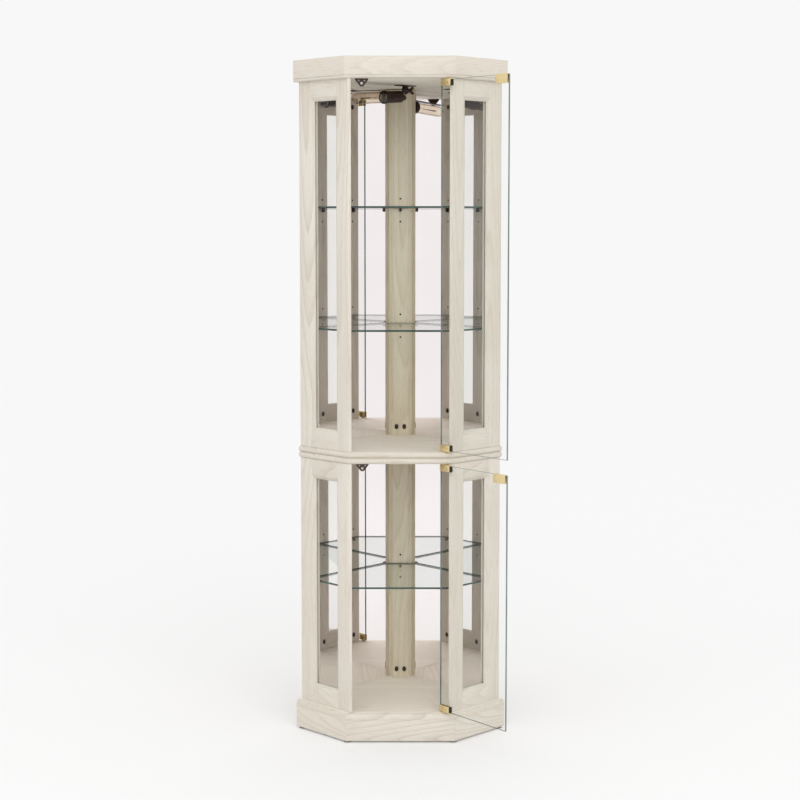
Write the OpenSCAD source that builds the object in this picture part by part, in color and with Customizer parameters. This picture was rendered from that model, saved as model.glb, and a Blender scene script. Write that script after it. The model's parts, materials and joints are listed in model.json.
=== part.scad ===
// Two-section corner curio cabinet: framed glass sides, mirrored back,
// glass shelves, two frameless pivoting glass doors and one tubular lamp.

/* [Outline] */
// Half width of the straight front edge of the crown and plinth
front_half = 146; // [130:1:160]
// Half of the overall width, at the two side corners
side_half = 285; // [270:1:300]
// Depth at which the rear corner is cut off flat
rear_cut_y = 400; // [394:1:404]
// How far the body stands in from the crown and plinth
body_inset = 11; // [10:1:13]
// How far the waist boards stand in from the crown and plinth
waist_inset = 7; // [5:1:8]

/* [Heights] */
// Height of the glides under the plinth
foot_h = 5; // [3:1:8]
// Height of the plinth rails
plinth_h = 57; // [50:1:70]
// Thickness of the base board and its rounded edge
base_board_h = 19; // [18:1:22]
// Height of the lower side frames
lower_h = 668; // [640:1:700]
// Thickness of each waist board
waist_h = 16; // [15:1:20]
// Height of the upper side frames
upper_h = 972; // [940:1:990]
// Height of the crown rails
crown_h = 57; // [50:1:70]

/* [Joinery] */
// Thickness of the solid wood frames and rails
stock = 18; // [16:0.5:20]
// Flat width of each front stile on its outer face
front_flat = 41; // [38:1:46]
// Flat width of each rear stile on its outer face
rear_flat = 44; // [40:1:48]
// Flat height of the top and bottom rails
rail_flat = 43; // [38:1:50]
// Width of the bevelled moulding round each pane
bevel_w = 10; // [6:1:12]
// Depth of the bevelled moulding
bevel_d = 7; // [5:0.5:8]
// Thickness of the panes in the side frames
pane_t = 4; // [3:0.5:5]
// Thickness of the mirrors
mirror_t = 4; // [3:0.5:5]
// Thickness of the boards behind the mirrors
back_t = 3; // [3:0.5:4]
// Thickness of the top and ceiling boards
panel_t = 12; // [9:1:15]

/* [Doors] */
// Thickness of the door glass
door_t = 5; // [4:0.5:6]
// Angle by which both doors stand open at rest
door_open = 130; // [0:1:150]
// Half width of the front opening
opening_half = 128.4; // [124:0.2:129]
// Distance of the pivot from the hinge edge of the glass
pivot_inset = 11.5; // [10:0.5:12]
// Depth of the pivot axis behind the crown's front face
pivot_y = 12; // [11:0.5:13]

/* [Shelves] */
// Height of the glass shelf in the lower section
shelf_1_z = 410; // [320:10:500]
// Height of the lower glass shelf in the upper section
shelf_2_z = 1096; // [1050:2:1150]
// Height of the upper glass shelf in the upper section
shelf_3_z = 1420; // [1380:2:1460]
// Thickness of the glass shelves
shelf_t = 5; // [4:0.5:6]
// Spacing of the shelf pin holes
pin_pitch = 32; // [28:1:36]

/* [Lamp] */
// Diameter of the tubular bulb
bulb_d = 30; // [26:1:34]
// Length of the bulb that shows in front of its socket
bulb_len = 110; // [80:1:120]
// Droop of the lamp below level
lamp_tilt = 4.5; // [0:0.5:6]

/* [Hidden] */
$fn = 48;
root2 = sqrt(2);
eps = 0.01;
big = 900;

base_z = foot_h + plinth_h;
lower_z = base_z + base_board_h;
waist_z = lower_z + lower_h;
upper_z = waist_z + 2 * waist_h;
crown_z = upper_z + upper_h;
top_z = crown_z + crown_h;

side_y = side_half - front_half;
rear_sum = side_half + side_y;
body_front_y = 6;
waist_front_y = 2;

// Plan coordinates turned by 45 degrees: "across" runs out through the right
// side frame, "along" runs out through the right back panel.
body_across = front_half / root2 - body_inset;
body_along = rear_sum / root2 - body_inset;
inner_across = body_across - stock;
mirror_along = body_along - back_t - 0.5 - mirror_t;
front_corner_along = (body_across * root2 + 2 * body_front_y) / root2;
front_sight = front_corner_along + front_flat + bevel_w;
rear_sight = body_along - rear_flat - bevel_w;
rail_h = rail_flat + bevel_w;
groove_d = 8;
pane_across = body_across - bevel_d - 2 - pane_t;

mitre_gap = 0.1;
crown_round = 7;
quirk_w = 2;
quirk_d = 1.5;
waist_round = 8;
base_round = 14;

plinth_setback = 1;
foot_d = 20;
foot_edge = 3;

fit_gap = 0.3;
panel_end_gap = 0.5;
post_half = 23;
post_step = 10;
post_wing_half = 32.4;
post_wing_y = mirror_along * root2 - post_wing_half;
post_front_y = post_wing_y - post_step;
post_slot_x = 22;

door_hinge_x = opening_half - 2 - pivot_inset;
door_reach = opening_half - 2 + door_hinge_x;
door_gap = 3.5;
clamp_len = 38;
clamp_h = 16;
clamp_half = 5.4;
clamp_web = 2;
clip_t = 1.2;
clip_w = 44;
clip_h = 22;
clip_from_edge = 4;
pin_d = 5;
pin_clear = 0.05;
pin_len = 9;
bush_d = 8;
bush_h = 10;
bush_flange_d = 12;
bush_flange_h = 0.8;

cam_d = 10;
cam_depth = 10;
cam_proud = 1;
cam_end = 25;
post_cam_half = 11;
front_hole_in = 30;
rear_hole_in = 26;
seat_gap = 0.5;
hole_d = 5;
hole_depth = 8;
shelf_pin_clear = 0.1;
head_d = 8;
head_len = 8;

catch_half = 17;
catch_drop = 20;
catch_tip_half = 4;
catch_lip = 3;
catch_t = 9;
catch_gap = 0.6;

lamp_at = [-46, 188, crown_z - 35.5];
lamp_turn = 225;
socket_d = 35;
socket_len = 68;
collar_len = 10;
barrel_d = 32;
bulb_base_d = 26;
bulb_base_len = 24;
arm_w = 22;
arm_t = 2;
arm_back = 100;
arm_short = 4;
boss_back = 84;
boss_d = 16;
boss_h = 9;
plate_l = 60;
plate_w = 26;
plate_t = 2;

shelf_gap = 3;
shelf_inset = body_inset + stock + shelf_gap;
shelf_front_y = 30;

// The origin is midway between the open doors' free edge and the rear face.
door_angle = 180 + door_open;
door_tip_y = pivot_y + min([
    for (u = [door_reach], v = [-door_t / 2, door_t / 2])
        u * sin(door_angle) + v * cos(door_angle)
]);
clip_tip_y = pivot_y + (door_reach - clip_from_edge) * sin(door_angle)
    - (door_t / 2 + clip_t) * abs(cos(door_angle));
frame_y = (min(door_tip_y, clip_tip_y) + rear_cut_y) / 2;

wood = "#e6dfd2";
grey_board = "#b9b0a2";
clear = [0.75, 0.88, 0.84, 0.35];
silver = "#e9ebec";
brass = "#c9a23f";
brown = "#3a241c";
bronze = "#2b1a17";

// Plan corners of an outline set in from the crown, from the front left round
// to the rear left: two front, two side and two rear corners.
function plan(inset, front_y) =
    let (
        across = front_half - inset * root2,
        sum = rear_sum - inset * root2,
        rear_y = rear_cut_y - inset,
        front_x = across + front_y,
        side_x = (across + sum) / 2,
        mid_y = (sum - across) / 2,
        rear_x = sum - rear_y
    )
    [
        [-front_x, front_y], [front_x, front_y], [side_x, mid_y],
        [rear_x, rear_y], [-rear_x, rear_y], [-side_x, mid_y]
    ];

// Everything is drawn from the crown's front face and moved to the origin once.
module placed() {
    translate([0, -frame_y, 0])
    children();
}

module slab(points, z, h) {
    translate([0, 0, z])
    linear_extrude(h)
    polygon(points);
}

// Section of a long board whose edge is at zero and whose body runs to +x,
// with its lower and upper outer corners rounded.
module edge_section(h, round_low, round_high) {
    difference() {
        square([big, h]);
        if (round_low > 0)
        difference() {
            square(round_low);
            translate([round_low, round_low])
            circle(round_low);
        }
        if (round_high > 0)
        translate([0, h - round_high])
        difference() {
            square(round_high);
            translate([round_high, 0])
            circle(round_high);
        }
    }
}

// A board with the three room-side edges rounded and the wall edges square.
module moulded_board(inset, front_y, z, h, round_low, round_high) {
    intersection() {
        slab(plan(inset, front_y), z, h);
        front_edge(front_y, z)
        edge_section(h, round_low, round_high);
        side_edge(inset, z)
        edge_section(h, round_low, round_high);
        mirror([1, 0, 0])
        side_edge(inset, z)
        edge_section(h, round_low, round_high);
    }
}

// Runs an edge section along the front edge of an outline.
module front_edge(front_y, z) {
    translate([-big / 2, front_y, z])
    rotate([90, 0, 90])
    linear_extrude(big)
    children();
}

// Runs an edge section along the right side edge of an outline.
module side_edge(inset, z) {
    rotate([0, 0, -45])
    translate([front_half / root2 - inset, big, z])
    rotate([90, 0, 0])
    mirror([1, 0, 0])
    linear_extrude(2 * big)
    children();
}

// Mitred length of a ring between outline corners i and i + 1.
module ring_sector(z, h, i, inset) {
    outer = plan(inset, inset);
    inner = plan(stock, stock);
    slab([outer[i], outer[i + 1], inner[i + 1], inner[i]], z, h);
}

// Point at a small gap from a towards b, so that mitred ends only just clear.
function nudged(a, b) = a + (b - a) * mitre_gap / norm(b - a);

// The two wall-side rails and the short one between them, as separate pieces.
module back_ring(z, h) {
    outer = plan(0, 0);
    inner = plan(stock, stock);
    for (i = [2, 3, 4]) {
        j = (i + 1) % len(outer);
        slab([
            nudged(outer[i], outer[j]), nudged(outer[j], outer[i]),
            nudged(inner[j], inner[i]), nudged(inner[i], inner[j])
        ], z, h);
    }
}

module bush_hole(z) {
    translate([door_hinge_x, pivot_y, z])
    cylinder(d = bush_d, h = bush_h + 0.2);
}

// Section of a crown rail: a small bead along the lower edge, set off by a fine groove.
module crown_section() {
    difference() {
        edge_section(crown_h, crown_round, 0);
        translate([-quirk_d, crown_round])
        square([2 * quirk_d, quirk_w]);
    }
}

module crown_front_rail() {
    color(wood)
    placed()
    difference() {
        intersection() {
            ring_sector(crown_z, crown_h, 0, 0);
            front_edge(0, crown_z)
            crown_section();
        }
        bush_hole(crown_z - 0.1);
    }
}

module crown_side_rail() {
    color(wood)
    intersection() {
        ring_sector(crown_z, crown_h, 1, 0);
        side_edge(0, crown_z)
        crown_section();
    }
}

module crown_right_rail() {
    placed()
    crown_side_rail();
}

module crown_left_rail() {
    placed()
    on_left()
    crown_side_rail();
}

module crown_back_rails() {
    color(wood)
    placed()
    back_ring(crown_z, crown_h);
}

module top_board() {
    color(wood)
    placed()
    slab(plan(stock, stock), top_z - panel_t, panel_t);
}

module ceiling_board() {
    color(wood)
    placed()
    slab(plan(stock, stock), crown_z, panel_t);
}

// Right side frame before it is parted: a box with a bevelled opening, a
// groove for the pane, and its front end cut to the door opening.
module side_frame(z, h) {
    z_low = z + rail_h;
    z_high = z + h - rail_h;
    difference() {
        slab(front_stile_plan(), z, h);
        intersection() {
            slab([
                [body_across + eps, front_sight - bevel_w - eps],
                [body_across - bevel_d, front_sight],
                [inner_across - 1, front_sight],
                [inner_across - 1, rear_sight],
                [body_across - bevel_d, rear_sight],
                [body_across + eps, rear_sight + bevel_w + eps]
            ], z, h);
            translate([0, body_along, 0])
            rotate([90, 0, 0])
            linear_extrude(body_along)
            polygon([
                [body_across + eps, z_low - bevel_w - eps],
                [body_across - bevel_d, z_low],
                [inner_across - 1, z_low],
                [inner_across - 1, z_high],
                [body_across - bevel_d, z_high],
                [body_across + eps, z_high + bevel_w + eps]
            ]);
        }
        translate([pane_across - 0.1, front_sight - groove_d, z_low - groove_d])
        cube([pane_t + 0.2, rear_sight - front_sight + 2 * groove_d,
            z_high - z_low + 2 * groove_d]);
    }
}

// Plan of the whole frame in turned coordinates, with the flat strip that
// faces the room and the return that faces the opening.
function front_stile_plan() = [
    [body_across, front_corner_along],
    [(opening_half - body_front_y) / root2, (opening_half + body_front_y) / root2],
    [inner_across, root2 * opening_half - inner_across],
    [inner_across, body_along],
    [body_across, body_along]
];

// Region of a stile or rail on the face of the frame, drawn along and up.
module face_region(points) {
    translate([inner_across - 1, 0, 0])
    rotate([90, 0, 90])
    linear_extrude(stock + 2)
    polygon(points);
}

function stile_region(z, h, start, flat, sight) = [
    [start, z - 1], [flat, z - 1], [flat, z + rail_flat], [sight, z + rail_h],
    [sight, z + h - rail_h], [flat, z + h - rail_flat], [flat, z + h + 1], [start, z + h + 1]
];

module front_stile(z, h, pins) {
    color(wood)
    difference() {
        turned()
        intersection() {
            side_frame(z, h);
            face_region(stile_region(z, h, 0, front_sight - bevel_w, front_sight));
        }
        frame_holes(front_hole_along(), z, h, pins);
    }
}

module rear_stile(z, h, pins) {
    color(wood)
    difference() {
        turned()
        intersection() {
            side_frame(z, h);
            face_region(stile_region(z, h, body_along + 1, rear_sight + bevel_w, rear_sight));
        }
        frame_holes(rear_hole_along(), z, h, pins);
    }
}

// A top or bottom rail; the top one is the bottom one turned over.
module frame_rail(z, h, top) {
    flat_0 = front_sight - bevel_w;
    flat_1 = rear_sight + bevel_w;
    low = top ? z + h : z;
    step = top ? -1 : 1;
    color(wood)
    turned()
    intersection() {
        side_frame(z, h);
        face_region([
            [flat_0, low - step], [flat_1, low - step], [flat_1, low + step * rail_flat],
            [rear_sight, low + step * rail_h], [front_sight, low + step * rail_h],
            [flat_0, low + step * rail_flat]
        ]);
    }
}

module pane(z, h) {
    edge = groove_d - 1;
    color(clear)
    turned()
    translate([pane_across, front_sight - edge, z + rail_h - edge])
    cube([pane_t, rear_sight - front_sight + 2 * edge, h - 2 * rail_h + 2 * edge]);
}

// Turns a piece drawn in across and along coordinates to its place on the right.
module turned() {
    rotate([0, 0, -45])
    children();
}

module on_left() {
    mirror([1, 0, 0])
    children();
}

function front_hole_along() = front_corner_along + front_hole_in;
function rear_hole_along() = mirror_along - rear_hole_in;

// Heights of the cam bolts of a section, near its floor and its ceiling.
function cam_heights(z, h) = [z + cam_end, z + h - cam_end];

// Heights of the three pin holes round a shelf; the pin sits in the middle one.
function pin_heights(shelf_z) = [for (k = [-1, 0, 1]) shelf_z - head_d / 2 + k * pin_pitch];

module frame_holes(along, z, h, shelves) {
    turned() {
        for (hole_z = cam_heights(z, h))
        translate([inner_across - 1, along, hole_z])
        rotate([0, 90, 0])
        cylinder(d = cam_d, h = cam_depth + 1);
        for (shelf_z = shelves, hole_z = pin_heights(shelf_z))
        translate([inner_across - 1, along, hole_z])
        rotate([0, 90, 0])
        cylinder(d = hole_d + shelf_pin_clear, h = hole_depth + 1);
    }
}

lower_shelves = [shelf_1_z];
upper_shelves = [shelf_2_z, shelf_3_z];

module upper_right_front_stile() {
    placed()
    front_stile(upper_z, upper_h, upper_shelves);
}

module upper_left_front_stile() {
    placed()
    on_left()
    front_stile(upper_z, upper_h, upper_shelves);
}

module lower_right_front_stile() {
    placed()
    front_stile(lower_z, lower_h, lower_shelves);
}

module lower_left_front_stile() {
    placed()
    on_left()
    front_stile(lower_z, lower_h, lower_shelves);
}

module upper_right_rear_stile() {
    placed()
    rear_stile(upper_z, upper_h, upper_shelves);
}

module upper_left_rear_stile() {
    placed()
    on_left()
    rear_stile(upper_z, upper_h, upper_shelves);
}

module lower_right_rear_stile() {
    placed()
    rear_stile(lower_z, lower_h, lower_shelves);
}

module lower_left_rear_stile() {
    placed()
    on_left()
    rear_stile(lower_z, lower_h, lower_shelves);
}

module upper_right_top_rail() {
    placed()
    frame_rail(upper_z, upper_h, true);
}

module upper_left_top_rail() {
    placed()
    on_left()
    frame_rail(upper_z, upper_h, true);
}

module lower_right_top_rail() {
    placed()
    frame_rail(lower_z, lower_h, true);
}

module lower_left_top_rail() {
    placed()
    on_left()
    frame_rail(lower_z, lower_h, true);
}

module upper_right_bottom_rail() {
    placed()
    frame_rail(upper_z, upper_h, false);
}

module upper_left_bottom_rail() {
    placed()
    on_left()
    frame_rail(upper_z, upper_h, false);
}

module lower_right_bottom_rail() {
    placed()
    frame_rail(lower_z, lower_h, false);
}

module lower_left_bottom_rail() {
    placed()
    on_left()
    frame_rail(lower_z, lower_h, false);
}

module upper_right_pane() {
    placed()
    pane(upper_z, upper_h);
}

module upper_left_pane() {
    placed()
    on_left()
    pane(upper_z, upper_h);
}

module lower_right_pane() {
    placed()
    pane(lower_z, lower_h);
}

module lower_left_pane() {
    placed()
    on_left()
    pane(lower_z, lower_h);
}

// Corner post across the rear angle, slotted at its flanks for the mirrors.
module rear_post(z, h, shelves) {
    face_sum = mirror_along * root2;
    back_sum = body_along * root2;
    back_y = rear_cut_y - body_inset;
    wing_x = post_wing_half - fit_gap;
    slot_end = face_sum - post_slot_x;
    slot_step = (back_sum - face_sum) / 2;
    half = [
        [post_half, post_front_y], [post_half, post_wing_y], [wing_x, post_wing_y],
        [post_slot_x, slot_end - fit_gap],
        [post_slot_x, slot_end],
        [post_slot_x + slot_step, slot_end + slot_step],
        [back_sum - back_y, back_y]
    ];
    other = [for (k = [len(half) - 1:-1:0]) [-half[k][0], half[k][1]]];
    color(wood)
    difference() {
        slab(concat(half, other), z, h);
        for (hole_z = cam_heights(z, h), x = [-post_cam_half, post_cam_half])
        translate([x, post_front_y - 1, hole_z])
        rotate([-90, 0, 0])
        cylinder(d = cam_d, h = cam_depth + 1);
        for (shelf_z = shelves, hole_z = pin_heights(shelf_z))
        translate([0, post_front_y - 1, hole_z])
        rotate([-90, 0, 0])
        cylinder(d = hole_d + shelf_pin_clear, h = hole_depth + 1);
    }
}

module upper_rear_post() {
    placed()
    rear_post(upper_z, upper_h, upper_shelves);
}

module lower_rear_post() {
    placed()
    rear_post(lower_z, lower_h, lower_shelves);
}

// A flat panel of the back between the rear post and the rear stile.
module back_panel(z, h, along, t) {
    post_across = (2 * post_slot_x - mirror_along * root2) / root2;
    turned()
    translate([post_across + fit_gap, along, z + panel_end_gap])
    cube([inner_across - post_across - 2 * fit_gap, t, h - 2 * panel_end_gap]);
}

module mirror_panel(z, h) {
    color(silver)
    back_panel(z, h, mirror_along, mirror_t);
}

module back_board(z, h) {
    color(grey_board)
    back_panel(z, h, body_along - back_t, back_t);
}

module upper_right_mirror() {
    placed()
    mirror_panel(upper_z, upper_h);
}

module upper_left_mirror() {
    placed()
    on_left()
    mirror_panel(upper_z, upper_h);
}

module lower_right_mirror() {
    placed()
    mirror_panel(lower_z, lower_h);
}

module lower_left_mirror() {
    placed()
    on_left()
    mirror_panel(lower_z, lower_h);
}

module upper_right_back_board() {
    placed()
    back_board(upper_z, upper_h);
}

module upper_left_back_board() {
    placed()
    on_left()
    back_board(upper_z, upper_h);
}

module lower_right_back_board() {
    placed()
    back_board(lower_z, lower_h);
}

module lower_left_back_board() {
    placed()
    on_left()
    back_board(lower_z, lower_h);
}

module upper_floor_board() {
    color(wood)
    placed()
    difference() {
        moulded_board(waist_inset, waist_front_y, upper_z - waist_h, waist_h,
            waist_round, waist_round);
        bush_hole(upper_z - bush_h);
    }
}

module lower_top_board() {
    color(wood)
    placed()
    difference() {
        moulded_board(waist_inset, waist_front_y, waist_z, waist_h,
            waist_round, waist_round);
        bush_hole(waist_z - 0.1);
    }
}

module base_board() {
    color(wood)
    placed()
    difference() {
        moulded_board(0, 0, base_z, base_board_h, 0, base_round);
        bush_hole(lower_z - bush_h);
    }
}

module plinth_front_rail() {
    color(wood)
    placed()
    ring_sector(foot_h, plinth_h, 0, plinth_setback);
}

module plinth_side_rail() {
    color(wood)
    ring_sector(foot_h, plinth_h, 1, plinth_setback);
}

module plinth_right_rail() {
    placed()
    plinth_side_rail();
}

module plinth_left_rail() {
    placed()
    on_left()
    plinth_side_rail();
}

module plinth_back_rails() {
    color(wood)
    placed()
    back_ring(foot_h, plinth_h);
}

// Round glides under the six corners of the plinth.
module feet() {
    color("#77736d")
    placed()
    for (p = plan(stock / 2 + foot_edge, stock / 2 + foot_edge))
    translate([p[0], p[1], 0])
    cylinder(d = foot_d, h = foot_h);
}

module shelf(z) {
    inner = plan(shelf_inset, shelf_front_y);
    face_sum = (mirror_along - shelf_gap) * root2;
    across = front_half - shelf_inset * root2;
    side_x = (face_sum + across) / 2;
    mid_y = (face_sum - across) / 2;
    rear_y = post_front_y - shelf_gap;
    rear_x = face_sum - rear_y;
    color(clear)
    slab([
        inner[0], inner[1], [side_x, mid_y],
        [rear_x, rear_y], [-rear_x, rear_y], [-side_x, mid_y]
    ], z, shelf_t);
}

module lower_shelf() {
    placed()
    shelf(shelf_1_z);
}

module middle_shelf() {
    placed()
    shelf(shelf_2_z);
}

module upper_shelf() {
    placed()
    shelf(shelf_3_z);
}

// One shelf pin, its shank along -z into the hole and its head outside.
module shelf_pin() {
    translate([0, 0, -hole_depth + seat_gap])
    cylinder(d = hole_d, h = hole_depth);
    cylinder(d = head_d, h = head_len);
}

module shelf_pins() {
    color(brown)
    placed()
    for (shelf_z = [shelf_1_z, shelf_2_z, shelf_3_z]) {
        pin_z = shelf_z - head_d / 2;
        translate([0, post_front_y, pin_z])
        rotate([90, 0, 0])
        shelf_pin();
        for (side = [0, 1], along = [front_hole_along(), rear_hole_along()])
        mirror([side, 0, 0])
        turned()
        translate([inner_across, along, pin_z])
        rotate([0, -90, 0])
        shelf_pin();
    }
}

module cam_bolt() {
    translate([0, 0, -cam_depth + seat_gap])
    cylinder(d = cam_d - 0.2, h = cam_depth - seat_gap);
    cylinder(d = cam_d + 1, h = cam_proud);
}

module cam_bolts() {
    color(brown)
    placed()
    for (section = [[lower_z, lower_h], [upper_z, upper_h]])
    for (cam_z = cam_heights(section[0], section[1])) {
        for (x = [-post_cam_half, post_cam_half])
        translate([x, post_front_y, cam_z])
        rotate([90, 0, 0])
        cam_bolt();
        for (side = [0, 1], along = [front_hole_along(), rear_hole_along()])
        mirror([side, 0, 0])
        turned()
        translate([inner_across, along, cam_z])
        rotate([0, -90, 0])
        cam_bolt();
    }
}

// Draws a door piece closed, with the pivot at zero and the free edge at -x,
// then swings it open.
module hung() {
    placed()
    translate([door_hinge_x, pivot_y, 0])
    rotate([0, 0, door_open])
    children();
}

module door_glass(z, h) {
    color(clear)
    hung()
    translate([-door_reach, -door_t / 2, z + door_gap])
    cube([door_reach + pivot_inset, door_t, h - 2 * door_gap]);
}

// U-shaped clamp on a bottom corner of the glass, with its pivot pin below.
module hinge_clamp() {
    difference() {
        translate([pivot_inset - clamp_len, -clamp_half, -clamp_web])
        cube([clamp_len, 2 * clamp_half, clamp_h + clamp_web]);
        translate([pivot_inset - clamp_len - 1, -door_t / 2, 0])
        cube([clamp_len + 2, door_t, clamp_h + 1]);
    }
    translate([0, 0, -clamp_web - pin_len])
    cylinder(d = pin_d, h = pin_len + 0.5);
}

module door_hinges(z, h) {
    color(brass)
    hung() {
        translate([0, 0, z + door_gap])
        hinge_clamp();
        translate([0, 0, z + h - door_gap])
        mirror([0, 0, 1])
        hinge_clamp();
    }
}

// Folded clip over the top free corner, pulled by hand and held by the catch.
module door_handle(z, h) {
    color(brass)
    hung()
    translate([-door_reach + clip_from_edge, 0, z + h - door_gap - clip_h])
    difference() {
        translate([0, -door_t / 2 - clip_t, 0])
        cube([clip_w, door_t + 2 * clip_t, clip_h + clip_t]);
        translate([-1, -door_t / 2, -1])
        cube([clip_w + 2, door_t, clip_h + 1]);
    }
}

module upper_door_glass() {
    door_glass(upper_z, upper_h);
}

module upper_door_hinges() {
    door_hinges(upper_z, upper_h);
}

module upper_door_handle() {
    door_handle(upper_z, upper_h);
}

module lower_door_glass() {
    door_glass(lower_z, lower_h);
}

module lower_door_hinges() {
    door_hinges(lower_z, lower_h);
}

module lower_door_handle() {
    door_handle(lower_z, lower_h);
}

// Bush pressed into a board below a door: bored tube with a thin flange on top.
module bush() {
    difference() {
        union() {
            translate([0, 0, -bush_h + 0.1])
            cylinder(d = bush_d - 0.1, h = bush_h);
            cylinder(d = bush_flange_d, h = bush_flange_h);
        }
        translate([0, 0, -bush_h])
        cylinder(d = pin_d + 2 * pin_clear, h = bush_h + bush_flange_h + 1);
    }
}

module pivot_bushes() {
    color(brass)
    placed()
    translate([door_hinge_x, pivot_y, 0])
    for (section = [[lower_z, lower_h], [upper_z, upper_h]]) {
        translate([0, 0, section[0]])
        bush();
        translate([0, 0, section[0] + section[1]])
        mirror([0, 0, 1])
        bush();
    }
}

// Three-cornered catch that hangs behind each door's handle, with a round magnet.
module magnet_catch() {
    rotate([90, 0, 0])
    linear_extrude(catch_t)
    polygon([
        [-catch_half, 0], [-catch_half, -catch_lip], [-catch_tip_half, -catch_drop],
        [catch_tip_half, -catch_drop], [catch_half, -catch_lip], [catch_half, 0]
    ]);
}

module magnet_catches() {
    catch_x = -door_reach + door_hinge_x + clip_from_edge + clip_w / 2;
    catch_y = pivot_y + door_t / 2 + clip_t + catch_gap + catch_t;
    color(brown)
    placed()
    for (z = [waist_z, crown_z])
    translate([catch_x, catch_y, z])
    magnet_catch();
}

// Lamp pieces are drawn along +x from the socket's rim, then aimed to the
// front left and tipped down.
module lamp_axis() {
    placed()
    translate(lamp_at)
    rotate([0, lamp_tilt, lamp_turn])
    children();
}

module lamp_socket() {
    color(bronze)
    lamp_axis()
    rotate([0, -90, 0])
    difference() {
        union() {
            cylinder(d = socket_d, h = collar_len);
            translate([0, 0, collar_len - 1])
            cylinder(d = barrel_d, h = socket_len - collar_len + 1);
        }
        translate([0, 0, -1])
        cylinder(d = bulb_base_d + 0.6, h = bulb_base_len + 2);
    }
}

module lamp_bulb() {
    color(clear)
    lamp_axis()
    rotate([0, 90, 0]) {
        translate([0, 0, -bulb_base_len])
        cylinder(d = bulb_base_d, h = bulb_base_len + 1);
        translate([0, 0, 0.5])
        cylinder(d = bulb_d, h = bulb_len - bulb_d / 2 - 0.5);
        translate([0, 0, bulb_len - bulb_d / 2])
        sphere(d = bulb_d);
    }
}

// Flat arm over the bulb, its boss and the plate screwed to the ceiling.
module lamp_bracket() {
    color(bronze)
    union() {
        lamp_axis()
        translate([-arm_back, -arm_w / 2, socket_d / 2])
        cube([arm_back + bulb_len - arm_short, arm_w, arm_t]);
        placed()
        translate([lamp_at[0] + boss_back / root2, lamp_at[1] + boss_back / root2, 0])
        rotate([0, 0, lamp_turn]) {
            translate([-plate_l / 2, -plate_w / 2, crown_z - plate_t])
            cube([plate_l, plate_w, plate_t]);
            translate([0, 0, crown_z - plate_t - boss_h + 1])
            cylinder(d = boss_d, h = boss_h);
        }
    }
}

crown_front_rail();
crown_left_rail();
crown_right_rail();
crown_back_rails();
top_board();
ceiling_board();
upper_left_front_stile();
upper_left_rear_stile();
upper_left_top_rail();
upper_left_bottom_rail();
upper_left_pane();
upper_right_front_stile();
upper_right_rear_stile();
upper_right_top_rail();
upper_right_bottom_rail();
upper_right_pane();
lower_left_front_stile();
lower_left_rear_stile();
lower_left_top_rail();
lower_left_bottom_rail();
lower_left_pane();
lower_right_front_stile();
lower_right_rear_stile();
lower_right_top_rail();
lower_right_bottom_rail();
lower_right_pane();
upper_rear_post();
lower_rear_post();
upper_left_mirror();
upper_right_mirror();
lower_left_mirror();
lower_right_mirror();
upper_left_back_board();
upper_right_back_board();
lower_left_back_board();
lower_right_back_board();
upper_floor_board();
lower_top_board();
base_board();
plinth_front_rail();
plinth_left_rail();
plinth_right_rail();
plinth_back_rails();
feet();
lower_shelf();
middle_shelf();
upper_shelf();
shelf_pins();
upper_door_glass();
upper_door_hinges();
upper_door_handle();
lower_door_glass();
lower_door_hinges();
lower_door_handle();
pivot_bushes();
magnet_catches();
cam_bolts();
lamp_bracket();
lamp_socket();
lamp_bulb();
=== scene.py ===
import json
import math

import bmesh
import bpy
from mathutils import Matrix, Vector


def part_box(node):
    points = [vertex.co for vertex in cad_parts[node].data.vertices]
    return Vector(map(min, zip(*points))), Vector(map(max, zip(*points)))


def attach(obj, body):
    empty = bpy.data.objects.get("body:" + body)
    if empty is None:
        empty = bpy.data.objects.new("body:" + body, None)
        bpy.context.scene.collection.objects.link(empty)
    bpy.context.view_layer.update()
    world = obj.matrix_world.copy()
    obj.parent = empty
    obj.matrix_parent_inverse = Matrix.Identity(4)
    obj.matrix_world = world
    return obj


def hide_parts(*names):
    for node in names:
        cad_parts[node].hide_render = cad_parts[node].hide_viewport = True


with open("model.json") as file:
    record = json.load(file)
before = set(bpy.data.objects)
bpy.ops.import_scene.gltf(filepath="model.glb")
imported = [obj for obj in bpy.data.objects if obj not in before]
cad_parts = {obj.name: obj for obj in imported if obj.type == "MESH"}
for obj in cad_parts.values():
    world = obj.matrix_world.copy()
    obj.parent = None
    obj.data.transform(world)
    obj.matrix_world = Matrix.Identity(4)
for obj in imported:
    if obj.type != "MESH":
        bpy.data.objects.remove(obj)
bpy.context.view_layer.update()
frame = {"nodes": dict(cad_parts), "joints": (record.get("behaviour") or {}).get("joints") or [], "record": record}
nodes = frame["nodes"]
mm = 0.001
bodyOf = {name: body for body, group in frame["record"]["behaviour"]["bodies"].items() for name in group}
pivots = {joint["child"]: Vector(joint["pos_m"]) for joint in frame["joints"]}
print("frame loaded:", len(nodes), "nodes")


def srgb(code):
    # hex colour to the linear values that shaders use
    parts = [int(code[i:i + 2], 16) / 255 for i in (1, 3, 5)]
    return tuple(c / 12.92 if c <= 0.04045 else ((c + 0.055) / 1.055) ** 2.4 for c in parts) + (1.0,)


def addNode(tree, kind, settings=None, links=None):
    # one node, with its settings by name and its sockets by name or number
    node = tree.nodes.new(kind)
    for key, value in (settings or {}).items():
        if isinstance(key, int) or key in node.inputs and not hasattr(node, str(key)):
            node.inputs[key].default_value = value
        else:
            setattr(node, key, value)
    for key, source in (links or {}).items():
        tree.links.new(source, node.inputs[key])
    return node


def newMaterial(name):
    mat = bpy.data.materials.new(name)
    mat.use_nodes = True
    mat.node_tree.nodes.clear()
    return mat, mat.node_tree


def finishMaterial(tree, shader):
    addNode(tree, "ShaderNodeOutputMaterial", {}, {"Surface": shader})


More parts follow.
